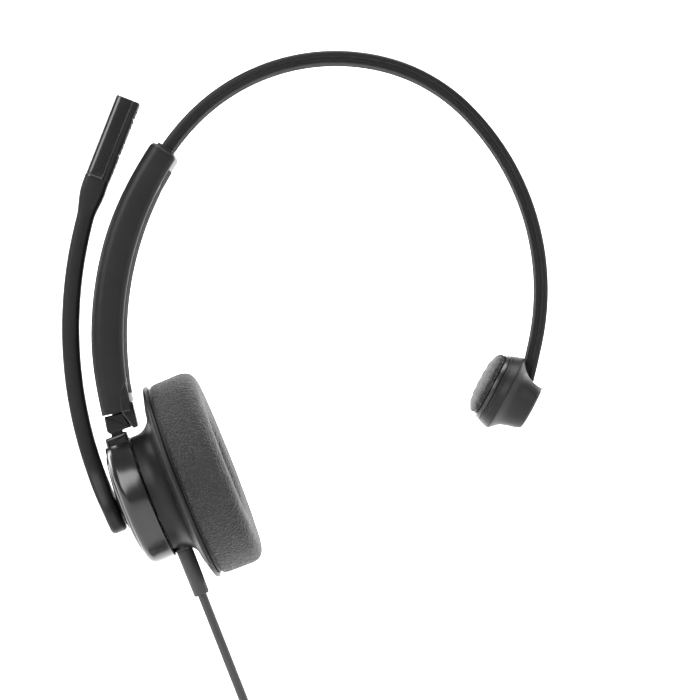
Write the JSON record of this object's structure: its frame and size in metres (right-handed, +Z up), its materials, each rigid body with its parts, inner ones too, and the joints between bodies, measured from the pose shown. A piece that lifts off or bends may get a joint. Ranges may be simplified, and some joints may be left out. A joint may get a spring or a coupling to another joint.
{
  "type": "office headset",
  "caption": "Single-ear office headset with a sprung headband, temple pad, sliding arm, tilting ear cup, turning microphone boom and a coiled USB cord.",
  "frame": {"origin": "middle of the space inside the headband, level with the crown's centre", "axes": "+Z up over the crown, +X from the ear cup towards the temple pad, +Y towards the back"},
  "size_m": [0.1553, 0.0771, 0.2542],
  "materials": {
    "band_plastic": "matte",
    "gloss_plastic": "semi-gloss",
    "soft_plastic": "matte",
    "spring_steel": "satin",
    "brass": "satin",
    "gold_contact": "polished",
    "leatherette": "fine grain",
    "cloth": "woven",
    "cord_rubber": "matte",
    "board": "satin",
    "magnet": "satin"
  },
  "bodies": {
    "headband": {"headband_cover": "band_plastic", "headband_liner": "band_plastic", "headband_spring": "spring_steel", "headband_slider": "soft_plastic", "headband_tongue": "soft_plastic", "band_rivets": "spring_steel"},
    "arm": {"arm_shell": "band_plastic", "arm_inner_cover": "band_plastic", "detent_spring": "spring_steel", "arm_screws": "spring_steel", "swivel_bush": "brass"},
    "knuckle": {"knuckle": "gloss_plastic", "swivel_clip": "spring_steel"},
    "ear_cup": {"hub_housing": "gloss_plastic", "hub_cap": "gloss_plastic", "cup_hinge_pin": "spring_steel", "boom_bush": "soft_plastic", "circuit_board": "board", "cup_screws": "spring_steel", "cup_shell": "gloss_plastic", "baffle_plate": "soft_plastic", "speaker_basket": "soft_plastic", "speaker_magnet": "magnet", "speaker_cone": "cloth", "speaker_cloth": "cloth", "cushion_ring": "soft_plastic", "ear_cushion": "leatherette", "strain_relief": "cord_rubber", "cord_lead": "cord_rubber", "cord_coil": "cord_rubber", "cord_ties": "cloth", "cord_tail": "cord_rubber", "usb_plug_body": "cord_rubber", "usb_plug_shell": "spring_steel", "usb_plug_contacts": "gold_contact"},
    "boom": {"boom_pivot": "soft_plastic", "boom_retainer": "spring_steel", "boom_arm": "band_plastic", "mic_housing": "gloss_plastic", "mic_element": "spring_steel", "mic_grille": "cloth"},
    "temple_pad": {"temple_pad_shell": "band_plastic", "temple_pad_cap": "gloss_plastic", "temple_pad_clevis": "soft_plastic", "temple_pad_pin": "spring_steel", "temple_pad_plate": "soft_plastic", "temple_pad_cushion": "leatherette", "temple_pad_screws": "spring_steel"}
  },
  "joints": [
    {"name": "size_adjust", "type": "hinge", "parent": "headband", "child": "arm", "pos_m": [0.036, 0, -0.0225], "axis": [0, -1, 0], "range_deg": [0, 18]},
    {"name": "cup_swivel", "type": "hinge", "parent": "arm", "child": "knuckle", "pos_m": [-0.06891, 0, -0.0473], "axis": [-0.23, 0, 0.9732], "range_deg": [-10, 10]},
    {"name": "cup_tilt", "type": "hinge", "parent": "knuckle", "child": "ear_cup", "pos_m": [-0.06788, 0, -0.0577], "axis": [0, -1, 0], "range_deg": [-3, 6]},
    {"name": "boom_rotate", "type": "hinge", "parent": "ear_cup", "child": "boom", "pos_m": [-0.06845, 0, -0.07727], "axis": [0.9304, 0, 0.3665], "range_deg": [-150, 150]},
    {"name": "temple_pad_tilt", "type": "hinge", "parent": "headband", "child": "temple_pad", "pos_m": [0.05853, 0, -0.0428], "axis": [0, -1, 0], "range_deg": [-8, 8]}
  ]
}
